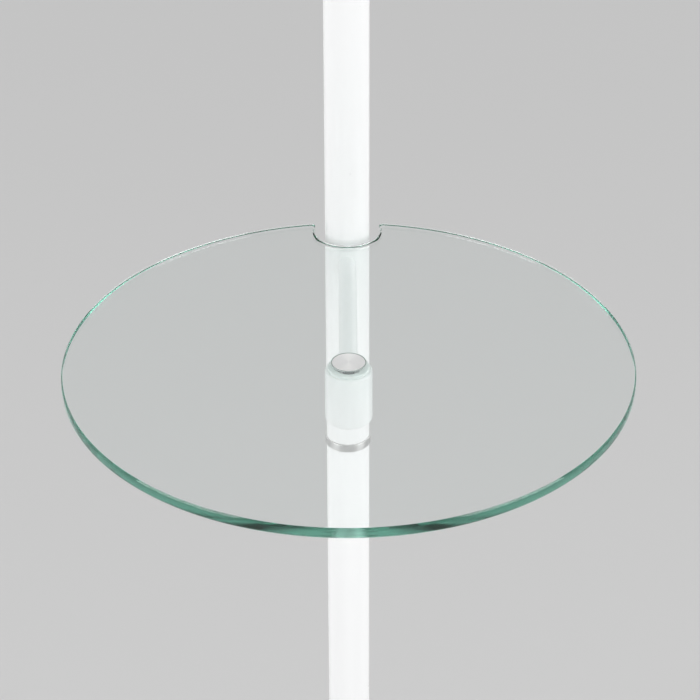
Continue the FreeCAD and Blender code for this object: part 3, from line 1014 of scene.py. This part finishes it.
base = {
    "crown": 32 * mm,       # radius at which the cover starts to fall
    "crownRound": 14 * mm,
    "rimTop": 18.5 * mm,
    "shoulder": 7.5 * mm,
    "shoulderInside": 6 * mm,
    "edge": 0.5 * mm,
    "wall": 1.2 * mm,
    "bore": 5.1 * mm,
    "roundingSteps": 10,
    "segments": 192,
}


def baseCover():
    # a spun cover with a rolled shoulder and a plain lower rim
    radius, low, high, centre = span("base_cover")
    wall, crown, edge = base["wall"], base["crown"], base["edge"]
    outline = softened([
        (base["bore"], high),
        (crown, high, base["crownRound"]),
        (radius, base["rimTop"], base["shoulder"]),
        (radius, low, edge),
        (radius - wall, low, edge),
        (radius - wall, base["rimTop"] - wall, base["shoulderInside"]),
        (crown, high - wall, base["crownRound"]),
        (base["bore"], high - wall),
    ], steps=base["roundingSteps"])
    lathe("base_cover_spun", outline, ["base_cover"], centre, base["segments"])


collar = {
    "lip": 2.0 * mm,
    "foot": 3.0 * mm,
    "bore": 12.7 * mm,
    "footEdge": 0.3 * mm,
    "footTop": 1.6 * mm,
    "lipOutside": 1.2 * mm,
    "lipInside": 0.4 * mm,
    "roundingSteps": 8,
    "segments": 128,
}


def footCollar():
    radius, low, high, centre = span("foot_collar")
    outline = softened([
        (collar["bore"], low),
        (radius, low, collar["footEdge"]),
        (radius, low + collar["foot"], collar["footTop"]),
        (collar["bore"] + collar["lip"], high, collar["lipOutside"]),
        (collar["bore"], high, collar["lipInside"]),
    ], steps=collar["roundingSteps"])
    lathe("foot_collar_turned", outline, ["foot_collar"], centre, collar["segments"])


baseCover()
footCollar()
print("base: cover and collar")


holder = {
    "bore": 5.1 * mm,
    "foot": 12.6 * mm,      # plain foot under the flare
    "footHeight": 2 * mm,
    "footEdge": 0.4 * mm,
    "flareRoot": 2 * mm,
    "flareCrown": 5 * mm,
    "flareTop": 16 * mm,
    "hollowTop": 17 * mm,
    "floor": 3 * mm,
    "wall": 2 * mm,
    "groove": 0.5 * mm,
    "grooveFrom": 3.2 * mm, # below the upper edge
    "grooveTo": 1.7 * mm,
    "grooveLip": 0.3 * mm,
    "grooveRoot": 0.2 * mm,
    "edge": 0.5 * mm,
    "roundingSteps": 8,
    "segments": 144,
}


def holderCap():
    radius, low, high, centre = span("holder_cap")
    foot, wall, depth = holder["foot"], holder["wall"], holder["groove"]
    grooveLow, grooveHigh = high - holder["grooveFrom"], high - holder["grooveTo"]
    outline = softened([
        (holder["bore"], low),
        (foot, low, holder["footEdge"]),
        (foot, low + holder["footHeight"], holder["flareRoot"]),
        (radius, low + holder["flareTop"], holder["flareCrown"]),
        (radius, grooveLow, holder["grooveLip"]),
        (radius - depth, grooveLow + depth, holder["grooveRoot"]),
        (radius - depth, grooveHigh - depth, holder["grooveRoot"]),
        (radius, grooveHigh, holder["grooveLip"]),
        (radius, high, holder["edge"]),
        (radius - wall, high),
        (radius - wall, low + holder["hollowTop"]),
        (foot - wall, low + holder["floor"]),
        (holder["bore"], low + holder["floor"]),
    ], steps=holder["roundingSteps"])
    lathe("holder_cap_shell", outline, ["holder_cap"], centre, holder["segments"])


threaded = {
    "radius": 19.5 * mm,
    "bore": 12 * mm,
    "wall": 2 * mm,
    "seat": 2.5 * mm,       # flange under the threads
    "seatEdge": 0.6 * mm,
    "edge": 0.5 * mm,
    "mouthEdge": 0.4 * mm,
    "pitch": 3.4 * mm,
    "depth": 0.75 * mm,
    "plain": 1.5 * mm,      # plain wall above and below the thread
    "fade": 2 * mm,
    "rows": 0.45 * mm,
    "sharp": 50,
}


def holderBody():
    radius, low, high, centre = span("holder_body")
    wide, wall, bore = threaded["radius"], threaded["wall"], threaded["bore"]
    seat = low + threaded["seat"]
    outline = divided(softened([
        (bore, low),
        (radius, low, threaded["edge"]),
        (radius, seat, threaded["seatEdge"]),
        (wide, seat),
        (wide, high, threaded["edge"]),
        (wide - wall, high, threaded["mouthEdge"]),
        (wide - wall, low + wall),
        (bore, low + wall),
    ]), threaded["rows"])
    start, end = seat + threaded["plain"], high - threaded["plain"]
    thread = screwThread(threaded["pitch"], threaded["depth"], start, end, threaded["fade"])

    def form(angle, r, z):
        return thread(angle, r, z) if abs(r - wide) < tiny else r

    segments, sharp = holder["segments"], threaded["sharp"]
    lathe("holder_body_threaded", outline, ["holder_body"], centre, segments, sharp, form)


screw = {"pitch": 3.63 * mm, "fade": 2 * mm, "segments": 120, "sharp": 50}
shell = {"wall": 0.4 * mm, "depth": 0.75 * mm, "plain": 1 * mm, "rows": 0.4 * mm}


def screwShell():
    # rolled sheet: both faces follow the thread
    radius, low, high, centre = span("screw_shell")
    inner, rows = radius - shell["wall"], shell["rows"]
    outline = divided([(inner, low), (radius, low), (radius, high), (inner, high)], rows)
    outline += divided([(inner, high), (inner, low)], rows)[1:-1]
    start, end = low + shell["plain"], high - shell["plain"]
    thread = screwThread(screw["pitch"], shell["depth"], start, end, screw["fade"], 1)
    lathe("screw_shell_rolled", outline, ["screw_shell"], centre, screw["segments"], screw["sharp"], thread)


def fluted(count, bite, radius, beyond):
    # round flutes in a rim that begins beyond the given radius
    def form(angle, r, z):
        share = angle * count / (2 * math.pi)
        away = abs(share - round(share)) * 2 * math.pi / count * radius
        depth = math.sqrt(max(0.0, bite ** 2 - away ** 2))
        return min(r, radius - depth) if r > beyond else r
    return form


clamp = {
    "outer": 25 * mm,
    "bore": 19.7 * mm,
    "grip": 22 * mm,        # the notches bite beyond this radius
    "notches": 8,
    "notch": 1.3 * mm,
    "lowEdge": 0.8 * mm,
    "highEdge": 1.4 * mm,
    "boreEdge": 0.5 * mm,
    "roundingSteps": 6,
    "rows": 1.2 * mm,
    "segments": 288,
    "sharp": 40,
}


def clampRing():
    low, high, centre = span("clamp_ring")[1:]
    outer, bore = clamp["outer"], clamp["bore"]
    outline = divided(softened([
        (bore, low),
        (outer, low, clamp["lowEdge"]),
        (outer, high, clamp["highEdge"]),
        (bore, high, clamp["boreEdge"]),
    ], steps=clamp["roundingSteps"]), clamp["rows"])
    form = fluted(clamp["notches"], clamp["notch"], outer, clamp["grip"])
    lathe("clamp_ring_grip", outline, ["clamp_ring"], centre, clamp["segments"], clamp["sharp"], form)


knob = {
    "radius": 7 * mm,
    "flutes": 12,
    "flute": 0.9 * mm,
    "rim": 0.8,             # share of the radius at which the flutes begin
    "backEdge": 0.4 * mm,
    "frontEdge": 1.8 * mm,
    "dish": 0.45,           # share of the radius that is dished
    "dishEdge": 2 * mm,
    "dishDepth": 0.35 * mm,
    "roundingSteps": 8,
    "rows": 0.8 * mm,
    "segments": 240,
    "sharp": 40,
}


def switchKnob():
    low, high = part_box("switch_knob")
    radius, length = knob["radius"], high.x - low.x
    outline = divided(softened([
        (0, 0),
        (radius, 0, knob["backEdge"]),
        (radius, length, knob["frontEdge"]),
        (knob["dish"] * radius, length, knob["dishEdge"]),
        (0, length - knob["dishDepth"]),
    ], steps=knob["roundingSteps"]), knob["rows"])
    form = fluted(knob["flutes"], knob["flute"], radius, knob["rim"] * radius)
    middle = Matrix.Translation((low.x, 0, (low.z + high.z) / 2))
    lay = middle @ Matrix.Rotation(math.radians(90), 4, "Y")
    segments, sharp = knob["segments"], knob["sharp"]
    lathe("switch_knob_fluted", outline, ["switch_knob"], (0, 0), segments, sharp, form, lay, False)


holderCap()
holderBody()
screwShell()
clampRing()
switchKnob()
print("lampholder: shells, clamp ring and knob")


bulb = {
    "foot": 1.4 * mm,       # the cap tapers in by this
    "footHeight": 2.4 * mm,
    "footEdge": 0.8 * mm,
    "footTop": 1 * mm,
    "thread": 1.0 * mm,
    "threadFrom": 2 * mm,
    "threadTo": 3 * mm,     # below the cap's upper edge
    "threadSkin": 2 * mm,   # depth under the cap's surface that follows the thread
    "rows": 0.45 * mm,
    "neck": 14.5 * mm,
    "mouth": 27 * mm,
    "bend": 13.1 * mm,      # height of the collar's middle point
    "groove": 0.35 * mm,
    "collarSteps": 24,
    "globe": 30 * mm,
    "globeSteps": 40,
    "wall": 1.2 * mm,
    "segments": 128,
}


def bulbCap():
    radius, low, high, centre = span("bulb_cap")
    outline = divided(softened([
        (0, low),
        (radius - bulb["foot"], low, bulb["footEdge"]),
        (radius, low + bulb["footHeight"], bulb["footTop"]),
        (radius, high),
        (0, high),
    ]), bulb["rows"])
    start, end = low + bulb["threadFrom"], high - bulb["threadTo"]
    thread = screwThread(screw["pitch"], bulb["thread"], start, end, screw["fade"])

    def form(angle, r, z):
        return thread(angle, r, z) if r > radius - bulb["threadSkin"] else r

    segments, sharp = screw["segments"], screw["sharp"]
    lathe("bulb_cap_threaded", outline, ["bulb_cap"], centre, segments, sharp, form, whole=False)


def bulbCollar():
    low, high, centre = span("bulb_housing")[1:]
    middle = (bulb["neck"] + bulb["mouth"]) / 2 - bulb["wall"]
    start, end = Vector((bulb["neck"], low)), Vector((bulb["mouth"], high))
    bend = Vector((middle, low + bulb["bend"]))
    control = 2 * bend - 0.5 * (start + end)
    outline = [(0, low)]
    for step in range(bulb["collarSteps"] + 1):
        t = step / bulb["collarSteps"]
        point = start.lerp(control, t).lerp(control.lerp(end, t), t)
        groove = bulb["groove"] if step == 1 else 0
        outline.append((point.x - groove, point.y))
    outline.append((0, high))
    lathe("bulb_housing_collar", outline, ["bulb_housing"], centre, bulb["segments"], whole=False)


def bulbGlobe():
    low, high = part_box("bulb_globe")
    radius = bulb["globe"]
    centreZ = high.z - radius
    first = math.asin((low.z - centreZ) / radius)
    outline = arcPoints((0, centreZ), radius, first, math.pi / 2 - first, bulb["globeSteps"])
    outline[-1] = (0, high.z)
    outline.insert(0, (outline[0][0] - bulb["wall"], outline[0][1]))
    outline.insert(0, (0, outline[0][1]))
    lathe("bulb_globe_opal", outline, ["bulb_globe"], (0, 0), bulb["segments"], whole=False)


bulbCap()
bulbCollar()
bulbGlobe()
print("bulb: cap, collar and globe")


shade = {
    "bottom": 200 * mm,     # outer radius at the lower edge
    "top": 180 * mm,
    "cloth": 0.35 * mm,
    "overlap": 12 * mm,     # glued seam at the back
    "lining": 0.3 * mm,
    "liningInset": 0.36 * mm,
    "liningOverlap": 0.5 * mm,
    "liningTurn": 0.1,      # radians between the two seams
    "flat": (1.254, 0.316), # box round the cloth's flat pattern, and its area
    "area": 0.290,
    "segments": 256,
    "rows": 12,
    "sharp": 40,
}


def shadeRadius(z, low, high):
    share = (z - low) / (high - low)
    return shade["bottom"] + share * (shade["top"] - shade["bottom"])


def wrappedCloth(name, low, high, outset, thickness, overlap, start):
    # a strip bent round the drum whose end lies over its own beginning
    bm = bmesh.new()
    extra = overlap / shade["bottom"]
    ramp = 0.5 * extra
    count, rows = shade["segments"], shade["rows"]
    skins = []
    for depth in (0, thickness):
        grid = []
        for row in range(rows + 1):
            z = low + (high - low) * row / rows
            line = []
            for step in range(count + 1):
                turn = (2 * math.pi + extra) * step / count
                lift = min(1.0, max(0.0, (turn - 2 * math.pi + ramp) / ramp)) * thickness
                r = shadeRadius(z, low, high) - outset - thickness + lift - depth
                angle = start + turn
                line.append(bm.verts.new((r * math.cos(angle), r * math.sin(angle), z)))
            grid.append(line)
        skins.append(grid)
    outer, inner = skins
    for row in range(rows):
        for step in range(count):
            for skin in skins:
                here, above = skin[row], skin[row + 1]
                bm.faces.new((here[step], here[step + 1], above[step + 1], above[step]))
    for step in range(count):
        for row in (0, rows):
            bm.faces.new((outer[row][step], outer[row][step + 1], inner[row][step + 1], inner[row][step]))
    for row in range(rows):
        for step in (0, count):
            bm.faces.new((outer[row][step], outer[row + 1][step], inner[row + 1][step], inner[row][step]))
    bmesh.ops.recalc_face_normals(bm, faces=bm.faces)
    return meshFrom(bm, name)


def shadeDrum():
    low, high = (corner.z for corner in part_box("shade_fabric"))
    start = math.pi / 2 - shade["overlap"] / shade["bottom"]
    name = "shade_cloth_wrap"
    mesh = wrappedCloth(name, low, high, 0, shade["cloth"], shade["overlap"], start)
    wrap = addPiece(name, mesh, ["shade_fabric"], shade["sharp"])
    inset, sheet, overlap = shade["liningInset"], shade["lining"], shade["liningOverlap"]
    mesh = wrappedCloth("shade_lining", low, high, inset, sheet, overlap, start + shade["liningTurn"])
    mesh.materials.append(liningFinish)
    inside = addPiece("shade_lining", mesh, [], shade["sharp"], "shade_fabric")
    return wrap, inside


tape = {
    "proud": 0.65 * mm,     # stands off the cloth, and below or above its edge
    "clear": 0.1 * mm,
    "width": 9 * mm,
    "inside": 3.1 * mm,     # how far in it reaches, round the wire
    "edge": 0.25 * mm,
    "fold": 0.9 * mm,
    "roundingSteps": 6,
    "segments": 256,
    "sharp": 40,
}


def edgeTape(node, name, level, inward):
    # cloth tape folded softly over the wire; inward is 1 at the lower edge and -1 at the upper
    low, high = (corner.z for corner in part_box("shade_fabric"))
    clear, proud, edge = tape["clear"], tape["proud"], tape["edge"]
    top = level + inward * tape["width"]
    fold = level - inward * proud
    seat = level - inward * clear

    def at(z, off):
        return shadeRadius(z, low, high) + off

    inside = at(level, -tape["inside"])
    outline = softened([
        (at(top, clear), top),
        (at(top, proud), top, edge),
        (at(fold, proud), fold, tape["fold"]),
        (inside, fold, edge),
        (inside, seat),
        (at(level, clear), seat),
    ], steps=tape["roundingSteps"])
    return lathe(name, outline, [node], (0, 0), tape["segments"], tape["sharp"])


hoop = {"sides": 16, "segments": 192, "sharp": 60}


def wireRing(node, name):
    low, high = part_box(node)
    wire = (high.z - low.z) / 2
    radius = high.x - wire
    level = (low.z + high.z) / 2
    outline = arcPoints((radius, level), wire, 0, 2 * math.pi, hoop["sides"])[:-1]
    lathe(name, outline, [node], (0, 0), hoop["segments"], hoop["sharp"])


carrier = {
    "radius": 28 * mm,
    "bore": 19.8 * mm,
    "plate": 1.2 * mm,
    "plateEdge": 0.35 * mm,
    "wire": 1.5 * mm,
    "weld": 0.75 * mm,      # how far an arm runs into the plate
    "clear": 0.1 * mm,
    "arms": 3,
    "roundingSteps": 3,
    "wireSteps": 5,
    "segments": 128,
    "sharp": 40,
}


def carrierArm(name, near, far):
    # a straight wire between two points
    curve = bpy.data.curves.new(name, "CURVE")
    curve.dimensions = "3D"
    curve.bevel_depth = carrier["wire"]
    curve.bevel_resolution = carrier["wireSteps"]
    curve.use_fill_caps = True
    line = curve.splines.new("POLY")
    line.points.add(1)
    for point, place in zip(line.points, (near, far)):
        point.co = (*place, 1)
    bent = inScene(name, curve)
    depsgraph = bpy.context.evaluated_depsgraph_get()
    mesh = bpy.data.meshes.new_from_object(bent.evaluated_get(depsgraph))
    bpy.data.objects.remove(bent)
    mesh.materials.clear()
    addPiece(name, mesh, [], carrier["sharp"], "shade_spider")


def wireCarrier():
    radius, bore = carrier["radius"], carrier["bore"]
    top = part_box("clamp_ring")[0].z
    low = top - carrier["plate"]
    corners = [(bore, low), (radius, low), (radius, top), (bore, top)]
    outline = softened(corners, carrier["plateEdge"], carrier["roundingSteps"])
    lathe("shade_carrier_ring", outline, ["shade_spider"], (0, 0), carrier["segments"])
    wireLow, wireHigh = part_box("shade_lower_wire")
    wire = (wireHigh.z - wireLow.z) / 2
    near = radius - carrier["weld"]
    far = wireHigh.x - wire - wire - carrier["clear"]
    level = wireLow.z + wire + carrier["clear"]
    for number in range(carrier["arms"]):
        angle = math.pi / 2 + 2 * math.pi * number / carrier["arms"]
        x, y = math.cos(angle), math.sin(angle)
        start = (near * x, near * y, (low + top) / 2)
        carrierArm("carrier_arm_" + str(number), start, (far * x, far * y, level))


liningFinish = mouldedPlastic("shadeLining")
wrap, inside = shadeDrum()
shadeLow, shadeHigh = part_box("shade_fabric")
lowerTape = edgeTape("shade_lower_hem", "shade_lower_tape", shadeLow.z, 1)
upperTape = edgeTape("shade_upper_hem", "shade_upper_tape", shadeHigh.z, -1)
wireRing("shade_lower_wire", "shade_lower_ring")
wireRing("shade_upper_wire", "shade_upper_ring")
wireCarrier()
print("shade: cloth, lining, tapes and wires")


room = {
    "paper": 0.605,        # floor colour near the lamp
    "background": 0.578,    # seamless grey behind everything
    "worldLight": 0.52,
    "throughGlass": 0.52,   # what the edges of the glass show above the floor
    "size": 24.0,
    "sides": 96,
    "near": 0.9,            # the floor fades into the background between these radii
    "far": 2.8,
    "fleck": 3,
    "fleckSpread": 0.004,
    "roughness": 0.9,
    "shine": 0.2,
    "bounces": 64,
}


def roomFloor():
    bm = bmesh.new()
    bmesh.ops.create_circle(bm, cap_ends=True, segments=room["sides"], radius=room["size"])
    mesh = meshFrom(bm, "room_floor")
    floor = inScene("room_floor", mesh)
    f = Finish("floorPaper")
    x, y = f.xyz()[:2]
    ends = {0: (x * x + y * y) ** 0.5, 1: room["near"], 2: room["far"]}
    fade = f.node("ShaderNodeMapRange", {"interpolation_type": "SMOOTHSTEP"}, ends)
    fleck = f.noise(room["fleck"], 2)
    level, spread = room["paper"], room["fleckSpread"]
    surface = f.shader(
        Base_Color=f.blend(fleck, grey(level * (1 - spread)), grey(level * (1 + spread))),
        Roughness=room["roughness"],
        Specular_IOR_Level=room["shine"],
    )
    glow = f.node("ShaderNodeEmission", {}, {"Color": grey(room["background"]), "Strength": 1.0})
    mesh.materials.append(f.done(f.node("ShaderNodeMixShader", {}, {0: fade, 1: surface, 2: glow})))


def roomWorld():
    world = bpy.data.worlds.new("studio")
    bpy.context.scene.world = world
    world.use_nodes = True
    w = Finish("", world)
    rays = ("Camera", "Glossy", "Transmission")
    seen, glossy, through = [w.node("ShaderNodeLightPath", out="Is " + kind + " Ray") for kind in rays]
    light = w.node("ShaderNodeBackground", {}, {"Color": grey(1.0), "Strength": room["worldLight"]})
    shown = w.node("ShaderNodeBackground", {}, {"Color": grey(room["background"])})
    behind = w.node("ShaderNodeBackground", {}, {"Color": grey(room["throughGlass"])})
    mixed = w.node("ShaderNodeMixShader", {}, {0: seen.atLeast(glossy), 1: light, 2: shown})
    w.done(w.node("ShaderNodeMixShader", {}, {0: through, 1: mixed, 2: behind}))


lamps = {
    "frontRight": {"place": (2.9, -1.6, 1.6), "size": 2.4, "watts": 78},
    "frontLeft": {"place": (-2.9, -1.6, 1.6), "size": 2.4, "watts": 72},
    "rearRight": {"place": (2.2, 2.6, 1.9), "size": 3.2, "watts": 17},
    "rearLeft": {"place": (-2.2, 2.6, 1.9), "size": 3.2, "watts": 17},
}
lampAim = (0, -0.1, 0.6)


def softLamp(name, facts):
    light = bpy.data.lights.new(name, "AREA")
    light.shape = "SQUARE"
    light.size = facts["size"]
    light.energy = facts["watts"]
    lamp = inScene(name, light)
    lamp.location = facts["place"]
    aim = Vector(lampAim) - Vector(facts["place"])
    lamp.rotation_euler = aim.to_track_quat("-Z", "Y").to_euler()


camera = {
    "place": (-0.0046, -1.4043, 1.3630),
    "lens": 146.7,
    "down": 31.945,   # degrees below the horizon
    "turn": 0.2426,   # degrees to the right
    "tilt": 0.2132,   # degrees clockwise
    "sensor": 36,
    "farthest": 50,
}


def photoCamera():
    data = bpy.data.cameras.new("photo")
    data.lens = camera["lens"]
    data.sensor_width = camera["sensor"]
    data.clip_end = camera["farthest"]
    seen = inScene("photo", data)
    heading = Matrix.Rotation(math.radians(-camera["turn"]), 4, "Z")
    pitch = Matrix.Rotation(math.radians(90 - camera["down"]), 4, "X")
    roll = Matrix.Rotation(math.radians(-camera["tilt"]), 4, "Z")
    seen.matrix_world = Matrix.Translation(camera["place"]) @ heading @ pitch @ roll
    bpy.context.scene.camera = seen


roomFloor()
roomWorld()
for name, facts in lamps.items():
    softLamp(name, facts)
photoCamera()
bpy.context.scene.view_settings.view_transform = "Standard"
for kind in ("max_bounces", "glossy_bounces", "transmission_bounces"):
    setattr(bpy.context.scene.cycles, kind, room["bounces"])
print("room: floor, light and camera")
